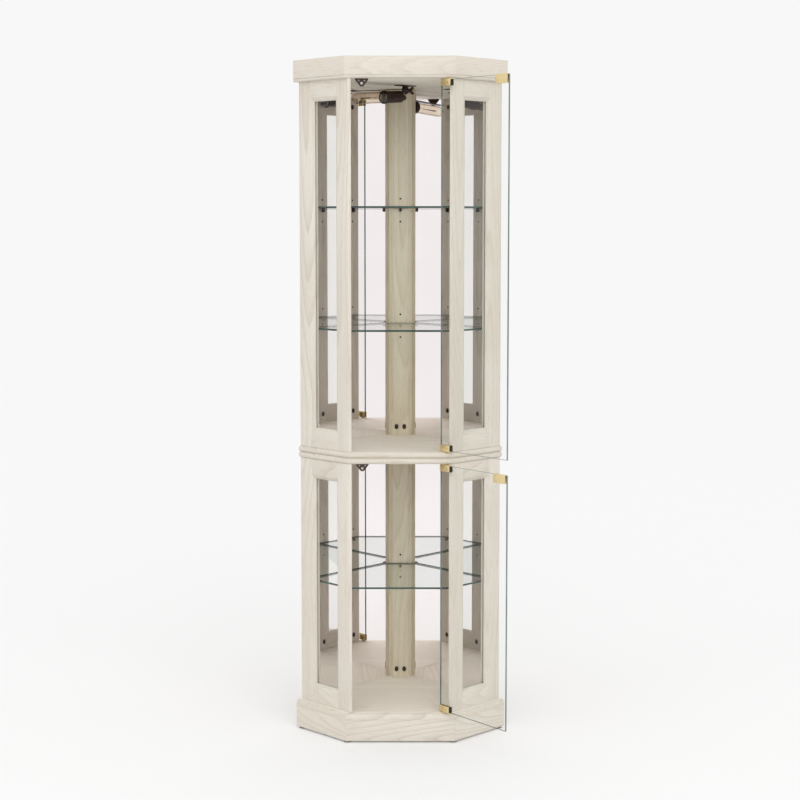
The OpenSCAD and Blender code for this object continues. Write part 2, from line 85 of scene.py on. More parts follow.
def ramp(tree, source, stops):
    node = addNode(tree, "ShaderNodeValToRGB", {}, {"Fac": source})
    for i, (place, colour) in enumerate(stops):
        element = node.color_ramp.elements[i] if i < 2 else node.color_ramp.elements.new(place)
        element.position = place
        element.color = srgb(colour)
    return node.outputs["Color"]


def objectPattern(tree, scale, detail):
    # soft noise fixed to the piece, as the amount output of its node
    coord = addNode(tree, "ShaderNodeTexCoord")
    noise = addNode(tree, "ShaderNodeTexNoise", {"Scale": scale, "Detail": detail},
                    {"Vector": coord.outputs["Object"]})
    return noise.outputs["Fac"]


def ranged(tree, source, settings):
    return addNode(tree, "ShaderNodeMapRange", settings, {"Value": source}).outputs[0]


def calculated(tree, operation, settings, links):
    return addNode(tree, "ShaderNodeMath", {"operation": operation, **settings}, links).outputs[0]


def smoothByAngle(mesh, degrees=32):
    for face in mesh.polygons:
        face.use_smooth = True
    mesh.set_sharp_from_angle(angle=math.radians(degrees))


def finishedMesh(build, name, materials, smooth=True):
    # the mesh of a finished build, with its materials in order
    mesh = bpy.data.meshes.new(name)
    for mat in materials:
        mesh.materials.append(mat)
    build.to_mesh(mesh)
    build.free()
    if smooth:
        smoothByAngle(mesh)
    return mesh


def addToScene(name, data):
    thing = bpy.data.objects.new(name, data)
    bpy.context.scene.collection.objects.link(thing)
    return thing


# Camera, at standing eye height and looking a little down
camera = {
    "distance": 4.4,  # metres in front of the crown
    "eye": 1.39,
    "aside": -0.001,
    "lens": 76.07,
    "pitch": 5.153,  # degrees down
    "shift": -0.035,
}
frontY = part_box("crown_front_rail")[0].y
cam = addToScene("camera", bpy.data.cameras.new("camera"))
cam.data.lens = camera["lens"]
cam.data.shift_y = camera["shift"]
cam.location = (camera["aside"], frontY - camera["distance"], camera["eye"])
cam.rotation_euler = (math.radians(90 - camera["pitch"]), 0, 0)
bpy.context.scene.camera = cam

# Studio: pale floor, even white surroundings and three soft lights
studio = {
    "air": "#fdfdfd",
    "airStrength": 0.955,
    "floorRadius": 60,
    "floorSides": 96,
    "floorWhite": 0.807,
    "floorGlow": 0.094,  # hides the horizon
    "aimHeight": 0.95,
    # name: kind, place, size (metres, or radians for a wide distant light), strength
    "lights": {
        "keyLight": ("SUN", (1.5, -3.4, 3.1), 0.95, 0.44),
        "fillLight": ("SUN", (-2.4, -3.2, 2.9), 0.95, 0.26),
        "topLight": ("AREA", (0.3, -2.2, 3.1), 1.8, 9),
    },
}


def floorMaterial():
    # matt white paint that fades into the air
    mat, tree = newMaterial("mattWhiteStudioFloor")
    white = (studio["floorWhite"],) * 3 + (1,)
    paint = addNode(tree, "ShaderNodeBsdfDiffuse", {"Color": white})
    lift = addNode(tree, "ShaderNodeEmission", {"Strength": studio["floorGlow"]})
    both = addNode(tree, "ShaderNodeAddShader", {}, {0: paint.outputs[0], 1: lift.outputs[0]})
    finishMaterial(tree, both.outputs[0])
    return mat


def makeStudio():
    bpy.context.scene.view_settings.view_transform = "Standard"
    world = bpy.data.worlds.new("studioAir")
    world.use_nodes = True
    bpy.context.scene.world = world
    air = world.node_tree.nodes["Background"]
    air.inputs["Color"].default_value = srgb(studio["air"])
    air.inputs["Strength"].default_value = studio["airStrength"]
    build = bmesh.new()
    bmesh.ops.create_circle(build, cap_ends=True, segments=studio["floorSides"], radius=studio["floorRadius"])
    floor = addToScene("floor", finishedMesh(build, "floor", [floorMaterial()], smooth=False))
    for name, (kind, place, size, power) in studio["lights"].items():
        light = bpy.data.lights.new(name, kind)
        if kind == "SUN":
            light.angle = size
        else:
            light.size = size
        light.energy = power
        holder = addToScene(name, light)
        holder.location = place
        aim = Vector((0, 0, studio["aimHeight"])) - Vector(place)
        holder.rotation_euler = aim.to_track_quat("-Z", "Y").to_euler()


makeStudio()
print("camera and studio ready")

# Whitewashed oak: open pores filled with white wash over a pale flat-sawn figure
oak = {
    "rail": {"pale": "#dbd4c9", "mid": "#d2cabd", "line": "#bbb1a0", "pore": "#afa490"},
    # yellower heartwood
    # yellower shades: painted warm light bounced around inside the cabinet
    "post": {"pale": "#dfd6c2", "mid": "#d5cbb3", "line": "#bdb196", "pore": "#b0a387"},
    # paler shades on the boards' broad faces, painted light that brightens the compartment floors
    "board": {"pale": "#f3ebe0", "mid": "#ebe2d5", "line": "#d9cdbb", "pore": "#cdbfaa"},
    "figureSpacing": 30.0,  # growth figure lines to a unit of noise
    "figureStretch": 0.09,  # how far the figure is drawn out along the grain
    "poreWidth": 0.9 * mm,  # drawn coarser than the real 0.3 mm so that it shows
    "poreLength": 28 * mm,
    "poreDepth": 0.34,  # how far a pore's colour shows
    "bump": 0.12 * mm,
}


def figureLines(tree, grain):
    # growth lines: a slow field cut into steps, each line darkening and then ending sharply
    stretched = addNode(tree, "ShaderNodeMapping", {"Scale": (oak["figureStretch"], 1.0, 1.0)},
                        {"Vector": grain})
    field = addNode(tree, "ShaderNodeTexNoise",
                    {"Scale": 7.0, "Detail": 1.5, "Roughness": 0.35, "Distortion": 0.15},
                    {"Vector": stretched.outputs[0]})
    rings = calculated(tree, "MULTIPLY", {1: oak["figureSpacing"]}, {0: field.outputs["Fac"]})
    saw = calculated(tree, "FRACT", {}, {0: rings})
    figure = ramp(tree, saw, [(0.0, "#ffffff"), (0.5, "#f4f4f4"), (0.8, "#c8c8c8"),
                              (0.92, "#9a9a9a"), (1.0, "#ffffff")])
    fadeNoise = addNode(tree, "ShaderNodeTexNoise", {"Scale": 5.0, "Detail": 2.0},
                        {"Vector": stretched.outputs[0]})
    fade = ranged(tree, fadeNoise.outputs["Fac"],
                  {"From Min": 0.35, "From Max": 0.65, "To Min": 0.15, "To Max": 0.9})
    dark = calculated(tree, "SUBTRACT", {0: 1.0}, {1: figure})
    return calculated(tree, "MULTIPLY", {}, {0: dark, 1: fade})


def porePattern(tree, grain):
    across = 1 / oak["poreWidth"] / 2
    fine = addNode(tree, "ShaderNodeMapping", {"Scale": (1 / oak["poreLength"], across, across)},
                   {"Vector": grain})
    pores = addNode(tree, "ShaderNodeTexNoise", {"Scale": 1.0, "Detail": 2.5, "Roughness": 0.6},
                    {"Vector": fine.outputs[0]})
    return pores.outputs["Fac"]


def oakMaterial(name, turn, shades):
    # turn brings the grain direction to the pattern's x axis
    mat, tree = newMaterial(name)
    coord = addNode(tree, "ShaderNodeTexCoord")
    grain = addNode(tree, "ShaderNodeMapping", {"vector_type": "POINT", "Rotation": turn},
                    {"Vector": coord.outputs["Object"]}).outputs[0]
    lines = figureLines(tree, grain)
    pores = porePattern(tree, grain)
    poreMask = ranged(tree, pores, {"From Min": 0.54, "From Max": 0.68})
    clouds = addNode(tree, "ShaderNodeTexNoise", {"Scale": 2.2, "Detail": 3.0}, {"Vector": grain})
    wash = ramp(tree, clouds.outputs["Fac"], [(0.35, shades["mid"]), (0.65, shades["pale"])])
    lined = addNode(tree, "ShaderNodeMix", {"data_type": "RGBA", 7: srgb(shades["line"])},
                    {0: lines, 6: wash})
    poreAmount = calculated(tree, "MULTIPLY", {1: oak["poreDepth"]}, {0: poreMask})
    colour = addNode(tree, "ShaderNodeMix", {"data_type": "RGBA", 7: srgb(shades["pore"])},
                     {0: poreAmount, 6: lined.outputs[2]})
    rough = ranged(tree, pores, {"To Min": 0.46, "To Max": 0.66})
    height = calculated(tree, "MULTIPLY_ADD", {1: 0.5}, {0: lines, 2: poreMask})
    bump = addNode(tree, "ShaderNodeBump", {"invert": True, "Strength": 0.5, "Distance": oak["bump"]},
                   {"Height": height})
    wood = addNode(tree, "ShaderNodeBsdfPrincipled", {"IOR": 1.47},
                   {"Base Color": colour.outputs[2], "Roughness": rough, "Normal": bump.outputs[0]})
    finishMaterial(tree, wood.outputs[0])
    return mat


quarter = math.pi / 2
oakUpright = oakMaterial("whitewashedOakUpright", (0, quarter, 0), oak["rail"])
oakAcross = oakMaterial("whitewashedOakAcross", (0, 0, 0), oak["rail"])
oakRight = oakMaterial("whitewashedOakRight", (0, 0, -quarter / 2), oak["rail"])
oakLeft = oakMaterial("whitewashedOakLeft", (0, 0, quarter / 2), oak["rail"])
# the post's yellower shades paint the warm light bounced around inside the cabinet
oakPostPaintedBounce = oakMaterial("whitewashedOakPostPaintedBounce", (0, quarter, 0), oak["post"])
oakBoardPaintedLight = oakMaterial("whitewashedOakBoardPaintedLight", (0, 0, 0), oak["board"])


def finishClearGlass(tree, tint, gloss, bend):
    # what isn't mirrored passes straight through, and only the outer side of a face mirrors
    through = addNode(tree, "ShaderNodeBsdfTransparent", {}, {"Color": tint})
    mirror = addNode(tree, "ShaderNodeBsdfGlossy", {}, gloss)
    share = addNode(tree, "ShaderNodeFresnel", {"IOR": bend})
    side = addNode(tree, "ShaderNodeNewGeometry")
    outside = calculated(tree, "SUBTRACT", {0: 1.0}, {1: side.outputs["Backfacing"]})
    amount = calculated(tree, "MULTIPLY", {}, {0: share.outputs[0], 1: outside})
    both = addNode(tree, "ShaderNodeMixShader", {}, {0: amount, 1: through.outputs[0], 2: mirror.outputs[0]})
    finishMaterial(tree, both.outputs[0])


def glassFaceMaterial(name, clear, worn, bend):
    # float glass: nearly all passes, the rest mirrors more towards grazing, with faint wiping marks
    mat, tree = newMaterial(name)
    smear = objectPattern(tree, 14.0, 4.0)
    rough = ranged(tree, smear, {"From Min": 0.4, "From Max": 0.8, "To Min": 0.0, "To Max": 0.05})
    tint = ramp(tree, smear, [(0.3, clear), (0.7, worn)])
    finishClearGlass(tree, tint, {"Roughness": rough}, bend)
    return mat


def glassEdgeMaterial(name, deep, light):
    # polished edge of float glass: light gathered along the sheet turns it sea green
    mat, tree = newMaterial(name)
    tint = ramp(tree, objectPattern(tree, 9.0, 3.0), [(0.3, deep), (0.7, light)])
    edge = addNode(tree, "ShaderNodeBsdfPrincipled", {"Roughness": 0.12, "IOR": 1.52}, {"Base Color": tint})
    finishMaterial(tree, edge.outputs[0])
    return mat


def mirrorMaterial():
    # silvered glass: bright and very slightly warm, its polish broken by faint wiping marks
    mat, tree = newMaterial("silveredMirror")
    smear = objectPattern(tree, 6.0, 3.0)
    tint = ramp(tree, smear, [(0.3, "#fbf8f8"), (0.7, "#fdfafa")])
    rough = ranged(tree, smear, {"To Min": 0.0, "To Max": 0.015})
    silver = addNode(tree, "ShaderNodeBsdfPrincipled", {"Metallic": 1.0},
                     {"Base Color": tint, "Roughness": rough})
    finishMaterial(tree, silver.outputs[0])
    return mat


def metalMaterial(name, dark, light, low, high, grain, metallic=1.0):
    # a hard finish with fine uneven polish: low and high bound its roughness, grain its noise scale
    mat, tree = newMaterial(name)
    fine = objectPattern(tree, grain, 4.0)
    tint = ramp(tree, fine, [(0.3, dark), (0.7, light)])
    rough = ranged(tree, fine, {"To Min": low, "To Max": high})
    bump = addNode(tree, "ShaderNodeBump", {"Strength": 0.12, "Distance": 0.02 * mm}, {"Height": fine})
    metal = addNode(tree, "ShaderNodeBsdfPrincipled", {"Metallic": metallic},
                    {"Base Color": tint, "Roughness": rough, "Normal": bump.outputs[0]})
    finishMaterial(tree, metal.outputs[0])
    return mat


def bulbGlassMaterial():
    # thin blown glass: clear where it faces the eye, darker along its outline as painted shade for the dark
    # surroundings the curved wall bends into view, with bright streaks
    mat, tree = newMaterial("blownBulbGlass")
    wave = objectPattern(tree, 70.0, 2.0)
    rough = ranged(tree, wave, {"To Min": 0.02, "To Max": 0.12})
    bump = addNode(tree, "ShaderNodeBump", {"Strength": 0.4, "Distance": 0.4 * mm}, {"Height": wave})
    turnedAway = addNode(tree, "ShaderNodeLayerWeight", {"Blend": 0.35}, {"Normal": bump.outputs[0]})
    # painted shade: the glass darkens towards its outline
    tint = ramp(tree, turnedAway.outputs["Facing"],
                [(0.0, "#fdfbf8"), (0.5, "#f5f0e7"), (0.8, "#cdc3b1"), (1.0, "#75695a")])
    finishClearGlass(tree, tint, {"Roughness": rough, "Normal": bump.outputs[0]}, 1.45)
    return mat


# a lower index than real glass keeps the sheets as clear as coated display glass
paneFace = glassFaceMaterial("floatGlassFace", "#fefefe", "#fdfefd", 1.28)
shelfFace = glassFaceMaterial("shelfGlassFace", "#fbfdfc", "#f9fcfb", 1.34)
paneEdge = glassEdgeMaterial("floatGlassEdge", "#5b6764", "#7c8985")
shelfEdge = glassEdgeMaterial("shelfGlassEdge", "#1d2f2b", "#3f5c54")
silvering = mirrorMaterial()
# warm yellow shine of the hinge clamps and door clips
brassPlate = metalMaterial("polishedBrassPlate", "#dcc388", "#f0deb0", 0.2, 0.36, 900, 0.9)
# cool grey glint of screws, magnets and the bulb's cap
steelMagnet = metalMaterial("nickelPlatedSteel", "#9a9a98", "#c4c4c0", 0.2, 0.4, 700)
# nearly black lamp metal with a soft brown sheen
bronzeEnamel = metalMaterial("darkBronzeEnamel", "#23140f", "#3d261e", 0.26, 0.46, 500, 0.35)
# dark brown fittings, a little duller than the lamp
brownPlastic = metalMaterial("brownMouldedPlastic", "#2a1812", "#40281e", 0.35, 0.55, 800, 0.0)
# dull black lining inside the clamps
blackRubber = metalMaterial("blackRubberPad", "#0d0d0d", "#1d1d1c", 0.6, 0.85, 900, 0.0)
# mid grey feet
greyNylon = metalMaterial("greyNylonGlide", "#6d6a65", "#85817b", 0.5, 0.7, 400, 0.0)
# painted shade for the insides of screw slots and drilled holes
recessPaintedShade = metalMaterial("shadedRecess", "#100c0a", "#1b1512", 0.6, 0.9, 400, 0.0)
# plain brown fibre board at the back
hardboard = metalMaterial("brownHardboardBack", "#a8967c", "#bfae94", 0.75, 0.95, 260, 0.0)
# bright thread inside the bulb
filamentGold = metalMaterial("goldenFilament", "#b98a3e", "#e9c98b", 0.25, 0.4, 900)
blownGlass = bulbGlassMaterial()
print("materials ready")


def linkPiece(name, mesh, body, replaced=()):
    # a finished mesh that rides on a body and stands for CAD nodes
    piece = addToScene(name, mesh)
    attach(piece, body)
    if replaced:
        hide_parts(*replaced)


def coatNode(node, finish):
    # a CAD node that is shown as it is, in a better finish
    nodes[node].data.materials.clear()
    nodes[node].data.materials.append(finish)


def mergedCopy(node):
    # a CAD node's triangles as one closed mesh with flat faces joined
    build = bmesh.new()
    build.from_mesh(nodes[node].data)
    bmesh.ops.remove_doubles(build, verts=build.verts, dist=1e-6)
    bmesh.ops.dissolve_limit(build, angle_limit=math.radians(0.4), verts=build.verts, edges=build.edges)
    return build


def easeEdges(build, width, segments=2):
    sharp = [e for e in build.edges if len(e.link_faces) == 2 and e.calc_face_angle(0) > math.radians(30)]
    bmesh.ops.bevel(build, geom=sharp, offset=width, offset_type="OFFSET", segments=segments,
                    profile=0.5, affect="EDGES", clamp_overlap=True)


slotOf = {part["node"]: part["material_slot"] for part in frame["record"]["subparts"]}


def nodesIn(slot):
    return [node for node, other in slotOf.items() if other == slot]


def touching(first, left):
    # every vertex that edges join to the first, taken out of those left
    group, queue = [first], [first]
    while queue:
        for edge in queue.pop().link_edges:
            for vert in edge.verts:
                if vert in left:
                    left.remove(vert)
                    group.append(vert)
                    queue.append(vert)
    return group


def solidsOf(node):
    # centre and lowest and highest corners of each separate solid in a node
    build = bmesh.new()
    build.from_mesh(nodes[node].data)
    bmesh.ops.remove_doubles(build, verts=build.verts, dist=1e-6)
    left = set(build.verts)
    found = []
    while left:
        group = touching(left.pop(), left)
        low = Vector([min(v.co[i] for v in group) for i in range(3)])
        high = Vector([max(v.co[i] for v in group) for i in range(3)])
        found.append(((low + high) / 2, low, high))
    build.free()
    return sorted(found, key=lambda solid: tuple(round(c, 4) for c in solid[0]))


diagonal = math.sqrt(0.5)
postReach = 0.03  # a fitting this near the middle sits on the rear post


def inwardFacing(centre):
    # which way a fitting on a stile or the post faces, from where it sits
    if abs(centre.x) < postReach:
        return Vector((0, -1, 0))
    return Vector((-diagonal if centre.x > 0 else diagonal, diagonal, 0))


# Wood pieces keep their CAD shape, with their edges eased as if sanded
woodwork = {
    "edgeEase": 0.7 * mm,
    "boardEase": 0.5 * mm,
    "paleBoards": ("base_board", "upper_floor_board", "ceiling_board", "lower_top_board"),
    "holePitch": 32 * mm,
    "holeReach": 3.5 * mm,  # how far from its axis a drilled hole's faces take the painted shade
    "holeDepth": 14 * mm,
    "holeArea": 60 * mm * mm,  # larger faces are never part of a hole
}


def woodMaterialFor(node):
    if node.endswith("post"):
        return oakPostPaintedBounce
    if node.endswith("stile"):
        return oakUpright
    if "left" in node:
        return oakLeft
    if "right" in node:
        return oakRight
    return oakAcross


def pinAxes():
    # where shelf pins sit or could sit: a point on each drilled hole's axis and the way it faces
    axes = []
    for centre, low, high in solidsOf("shelf_pins"):
        for step in (-1, 0, 1):
            axes.append((centre + Vector((0, 0, step * woodwork["holePitch"])), inwardFacing(centre)))
    return axes


def inHole(face, axes):
    if face.calc_area() > woodwork["holeArea"]:
        return False
    for start, facing in axes:
        offset = face.calc_center_median() - start
        along = offset.dot(facing)
        if abs(along) < woodwork["holeDepth"] and (offset - facing * along).length < woodwork["holeReach"]:
            return True
    return False


def makeWoodwork():
    axes = pinAxes()
    for node in nodesIn("whitewashed_oak"):
        build = mergedCopy(node)
        easeEdges(build, woodwork["boardEase"] if node.endswith("board") else woodwork["edgeEase"])
        if node.endswith("back_rails"):
            finishes = [oakRight, oakLeft]
            second = [face.calc_center_median().x > 0 for face in build.faces]
        # the broad faces of these boards take the paler shades that paint light onto the floors
        elif node in woodwork["paleBoards"]:
            finishes = [oakAcross, oakBoardPaintedLight]
            second = [abs(face.normal.z) > 0.9 for face in build.faces]
        else:
            # faces inside drilled holes take the painted shade of their depth
            finishes = [woodMaterialFor(node), recessPaintedShade]
            second = [inHole(face, axes) for face in build.faces]
        for face, isSecond in zip(build.faces, second):
            face.material_index = int(isSecond)
        name = node + "_eased"
        linkPiece(name, finishedMesh(build, name, finishes), bodyOf[node], [node])


makeWoodwork()
print("woodwork eased")

# Glass sheets: clear faces and green polished edges
sheets = {
    "edgeEase": 0.45 * mm,
    "bigShare": 0.2,  # a face with more than this share of the largest one's area is a clear face
}


def makeGlass():
    for node in nodesIn("clear_glass"):
        build = mergedCopy(node)
        clearArea = sheets["bigShare"] * max(face.calc_area() for face in build.faces)
        easeEdges(build, sheets["edgeEase"], 1)
        for face in build.faces:
            face.material_index = 0 if face.calc_area() > clearArea else 1
        finishes = [shelfFace, shelfEdge] if node.endswith("shelf") else [paneFace, paneEdge]
        name = node + "_sheet"
        mesh = finishedMesh(build, name, finishes, smooth=False)
        linkPiece(name, mesh, bodyOf[node], [node])


makeGlass()
for node in nodesIn("mirror_glass"):
    coatNode(node, silvering)
for node in nodesIn("back_board"):
    coatNode(node, hardboard)
print("glass and mirrors ready")


def inMetres(profile):
    return [(along * mm, radius * mm) for along, radius in profile]


def turnedMesh(name, profile, start, direction, segments, materials=(), hollow=False):
    # a solid of revolution: profile holds (distance along the axis, radius) from end to end,
    # and a hollow one runs back along its inside to where it began
    turn = Vector(direction).normalized().to_track_quat("Z", "Y").to_matrix()
    angles = [2 * math.pi * k / segments for k in range(segments)]
    build = bmesh.new()
    rings = []
    for along, radius in profile:
        flat = [(radius * math.cos(a), radius * math.sin(a)) for a in angles] if radius > 0 else [(0, 0)]
        rings.append([build.verts.new(Vector(start) + turn @ Vector((x, y, along))) for x, y in flat])
    for low, high in zip(rings, rings[1:] + (rings[:1] if hollow else [])):
        for k in range(segments):
            n = (k + 1) % segments
            corners = [low[k % len(low)], low[n % len(low)], high[n % len(high)], high[k % len(high)]]
            unique = list(dict.fromkeys(corners))
            if len(unique) > 2:
                build.faces.new(unique)
    for ring in () if hollow else (rings[0], rings[-1]):
        if len(ring) > 1:
            build.faces.new(ring)
    bmesh.ops.recalc_face_normals(build, faces=build.faces)
    return finishedMesh(build, name, materials)


def turnedSet(name, profile, seats, segments, finish):
    # the same turned shape on every seat, a (start, direction) pair
    build = bmesh.new()
    for start, direction in seats:
        piece = turnedMesh("turned", inMetres(profile), start, direction, segments)
        build.from_mesh(piece)
        bpy.data.meshes.remove(piece)
    return finishedMesh(build, name, [finish])


def baked(holder):
    # an object's evaluated mesh, with the object itself cleared away
    bpy.context.view_layer.update()
    made = bpy.data.meshes.new_from_object(holder.evaluated_get(bpy.context.evaluated_depsgraph_get()))
    holder.modifiers.clear()
    bpy.data.objects.remove(holder)
    return made


def studInputs(tree):
    face = tree.interface
    face.new_socket("Points", in_out="INPUT", socket_type="NodeSocketGeometry")
    for label, value in (("Head radius", 0.005), ("Head height", 0.002), ("Recess", 0.0035), ("Oval", 1.0)):
        face.new_socket(label, in_out="INPUT", socket_type="NodeSocketFloat").default_value = value
    for label in ("Head finish", "Recess finish"):
        face.new_socket(label, in_out="INPUT", socket_type="NodeSocketMaterial")
    face.new_socket("Studs", in_out="OUTPUT", socket_type="NodeSocketGeometry")
    return addNode(tree, "NodeGroupInput").outputs


def studHead(tree, source, dome):
    # a dome or a disc of unit size, scaled to the head and standing on the point
    if dome:
        shape = addNode(tree, "GeometryNodeMeshUVSphere", {"Segments": 20, "Rings": 10, "Radius": 1.0})
        unit = shape.outputs["Mesh"]
    else:
        shape = addNode(tree, "GeometryNodeMeshCylinder", {"Vertices": 24, "Radius": 1.0, "Depth": 1.0})
        unit = addNode(tree, "GeometryNodeTransform", {"Translation": (0, 0, 0.5)},
                       {"Geometry": shape.outputs["Mesh"]}).outputs[0]
    tall = calculated(tree, "MULTIPLY", {}, {0: source["Head radius"], 1: source["Oval"]})
    size = addNode(tree, "ShaderNodeCombineXYZ", {},
                   {0: source["Head radius"], 1: tall, 2: source["Head height"]})
    head = addNode(tree, "GeometryNodeTransform", {}, {"Geometry": unit, "Scale": size.outputs[0]})
    return addNode(tree, "GeometryNodeSetMaterial", {},
                   {"Geometry": head.outputs[0], "Material": source["Head finish"]}).outputs[0]


def studRecess(tree, source):
    # two crossed bars let into the top of the head, in a finish that paints the recess's shade
    cross = addNode(tree, "GeometryNodeJoinGeometry")
    for size in ((1.0, 0.24, 0.2), (0.24, 1.0, 0.2)):
        bar = addNode(tree, "GeometryNodeMeshCube", {"Size": size})
        scale = addNode(tree, "ShaderNodeCombineXYZ", {},
                        {0: source["Recess"], 1: source["Recess"], 2: source["Head height"]})
        raised = addNode(tree, "ShaderNodeCombineXYZ", {}, {2: source["Head height"]})
        placed = addNode(tree, "GeometryNodeTransform", {},
                         {"Geometry": bar.outputs["Mesh"], "Scale": scale.outputs[0],
                          "Translation": raised.outputs[0]})
        tree.links.new(placed.outputs[0], cross.inputs[0])
    return addNode(tree, "GeometryNodeSetMaterial", {},
                   {"Geometry": cross.outputs[0], "Material": source["Recess finish"]}).outputs[0]


def studTree(name, dome):
    # Geometry Nodes: one stud with a crossed recess on each point, facing the point's own direction
    tree = bpy.data.node_groups.new(name, "GeometryNodeTree")
    source = studInputs(tree)
    stud = addNode(tree, "GeometryNodeJoinGeometry")
    tree.links.new(studRecess(tree, source), stud.inputs[0])
    tree.links.new(studHead(tree, source, dome), stud.inputs[0])
    facing = addNode(tree, "GeometryNodeInputNamedAttribute", {"data_type": "FLOAT_VECTOR", "Name": "facing"})
    out = addNode(tree, "FunctionNodeAlignRotationToVector", {"axis": "Z"},
                  {"Vector": facing.outputs["Attribute"]})
    aim = addNode(tree, "FunctionNodeAlignRotationToVector",
                  {"axis": "Y", "pivot_axis": "Z", "Vector": (0, 0, 1)}, {"Rotation": out.outputs[0]})
    copies = addNode(tree, "GeometryNodeInstanceOnPoints", {},
                     {"Points": source["Points"], "Instance": stud.outputs[0], "Rotation": aim.outputs[0]})
    real = addNode(tree, "GeometryNodeRealizeInstances", {}, {"Geometry": copies.outputs[0]})
    addNode(tree, "NodeGroupOutput", {}, {"Studs": real.outputs[0]})
    return tree


domeStuds = studTree("domedStuds", True)
flatStuds = studTree("flatStuds", False)


def placeStuds(name, tree, points, sizes, finishes, body, replaced=()):
    # points holds (place, facing) pairs; sizes and finishes go by the tree's own input names
    mesh = bpy.data.meshes.new(name + "Points")
    mesh.from_pydata([tuple(place) for place, _ in points], [], [])
    facing = mesh.attributes.new("facing", "FLOAT_VECTOR", "POINT")
    for i, (_, direction) in enumerate(points):
        facing.data[i].vector = Vector(direction).normalized()
    holder = addToScene(name + "Holder", mesh)
    modifier = holder.modifiers.new("studs", "NODES")
    modifier.node_group = tree
    values = {"Oval": 1.0, **sizes, **dict(zip(("Head finish", "Recess finish"), finishes))}
    for item in tree.interface.items_tree:
        if item.item_type == "SOCKET" and item.in_out == "INPUT" and item.name in values:
            modifier[item.identifier] = values[item.name]
    made = baked(holder)
    made.name = name
    smoothByAngle(made)
    linkPiece(name, made, body, replaced)


# Oval caps over the cam bolts, and the pins that carry the shelves
caps = {"Head radius": 5.5 * mm, "Head height": 1.1 * mm, "Recess": 5.2 * mm, "Oval": 1.35}
capSeat = 4.25 * mm  # from the middle of a bolt to the wood's face
pinSeat = -0.25 * mm
pinProfile = [(-7.5, 0), (-7.5, 2.0), (-7.0, 2.45), (0, 2.45), (0, 3.7), (0.4, 4.0), (7.4, 4.0), (8.0, 3.4),
              (8.0, 0)]


def seatsOf(node, forward):
    # a seat on each solid of a node, moved forward the way it faces
    facings = [(centre, inwardFacing(centre)) for centre, low, high in solidsOf(node)]
    return [(centre + facing * forward, facing) for centre, facing in facings]


def makeFittings():
    bolts = seatsOf("cam_bolts", capSeat)
    placeStuds("cam_bolt_caps", flatStuds, bolts, caps,
               (brownPlastic, recessPaintedShade), "cabinet", ["cam_bolts"])
    mesh = turnedSet("shelf_pin_set", pinProfile, seatsOf("shelf_pins", pinSeat), 20, brownPlastic)
    linkPiece("shelf_pin_set", mesh, "cabinet", ["shelf_pins"])


makeFittings()
print("bolt caps and shelf pins ready")

# Door furniture, drawn in millimetres for a closed door with its hinge pin at the origin
door = {
    "openAngle": 130.0,
    "glass": 5.0,
    "clampLength": 38,
    "clampHeight": 16,
    "clampHalf": 5.4,  # half the clamp's thickness
    "web": 2.0,  # metal under the glass edge
    "overEdge": 11.5,  # how far the clamp runs past the pin
    "round": 1.4,
    "padReach": 2.6,
    "screwsFromEnd": (10, 25),
    "screws": {"Head radius": 2.6 * mm, "Head height": 0.5 * mm, "Recess": 3.0 * mm},
    "clipEase": 0.45 * mm,
}
pinInClamp = [(-10.6, 0), (-10.6, 1.9), (-10.0, 2.5), (-1.0, 2.5), (-1.0, 0)]


def doorMatrix(body, z):
    # closed door coordinates, in millimetres, to the open door's place
    pivot = pivots[body]
    turn = Matrix.Rotation(math.radians(door["openAngle"]), 4, "Z")
    return Matrix.Translation((pivot.x, pivot.y, z)) @ turn @ Matrix.Scale(mm, 4)


def partMesh(build):
    return finishedMesh(build, "part", [], smooth=False)


def channelMesh(x0, x1, inner):
    # the clamp: a U-shaped folded plate that opens upwards, drawn out along x
    half, low, high = door["clampHalf"], -door["web"], door["clampHeight"]
    section = [(-half, low), (half, low), (half, high), (inner, high),
               (inner, 0), (-inner, 0), (-inner, high), (-half, high)]
    build = bmesh.new()
    ends = [[build.verts.new((x, y, z)) for y, z in section] for x in (x0, x1)]
    for k in range(len(section)):
        n = (k + 1) % len(section)
        build.faces.new((ends[0][k], ends[0][n], ends[1][n], ends[1][k]))
    for end in ends:
        build.faces.new(end)
    bmesh.ops.recalc_face_normals(build, faces=build.faces)
    easeEdges(build, door["round"], 3)
    return partMesh(build)


def blockMesh(low, high):
    # a cushion-cornered block between two corners
    build = bmesh.new()
    for vert in bmesh.ops.create_cube(build, size=1.0)["verts"]:
        vert.co = Vector([low[i] + (vert.co[i] + 0.5) * (high[i] - low[i]) for i in range(3)])
    easeEdges(build, min(high[i] - low[i] for i in range(3)) * 0.25, 2)
    return partMesh(build)


def addParts(build, parts, place=None):
    # parts holds (mesh, material number); place turns a mirrored fitting the right way out too
    group = bmesh.new()
    for mesh, index in parts:
        for face in mesh.polygons:
            face.material_index = index
        group.from_mesh(mesh)
        bpy.data.meshes.remove(mesh)
    if place:
        bmesh.ops.transform(group, matrix=place, verts=group.verts)
        if place.determinant() < 0:
            bmesh.ops.reverse_faces(group, faces=group.faces)
    whole = partMesh(group)
    build.from_mesh(whole)
    bpy.data.meshes.remove(whole)


def clampParts(x0, x1):
    # a brass channel with a rubber lining on each side of the glass, a pad at its end and its pin
    inner = door["glass"] / 2
    half, tall = door["clampHalf"], door["clampHeight"]
    parts = [(channelMesh(x0, x1, inner + 0.25), 0)]
    for side in (-1, 1):
        near, far = sorted((side * (inner + 0.02), side * (inner + 0.24)))
        parts.append((blockMesh((x0 - 0.5, near, 0.2), (x1 + 0.5, far, tall - 0.6)), 1))
    pad = blockMesh((x0 - door["padReach"], -half + 0.5, 0.3), (x0 + 0.2, half - 0.5, tall - 0.3))
    parts.append((pad, 1))
    parts.append((turnedMesh("pin", pinInClamp, (0, 0, 0), (0, 0, 1), 24), 0))
    return parts


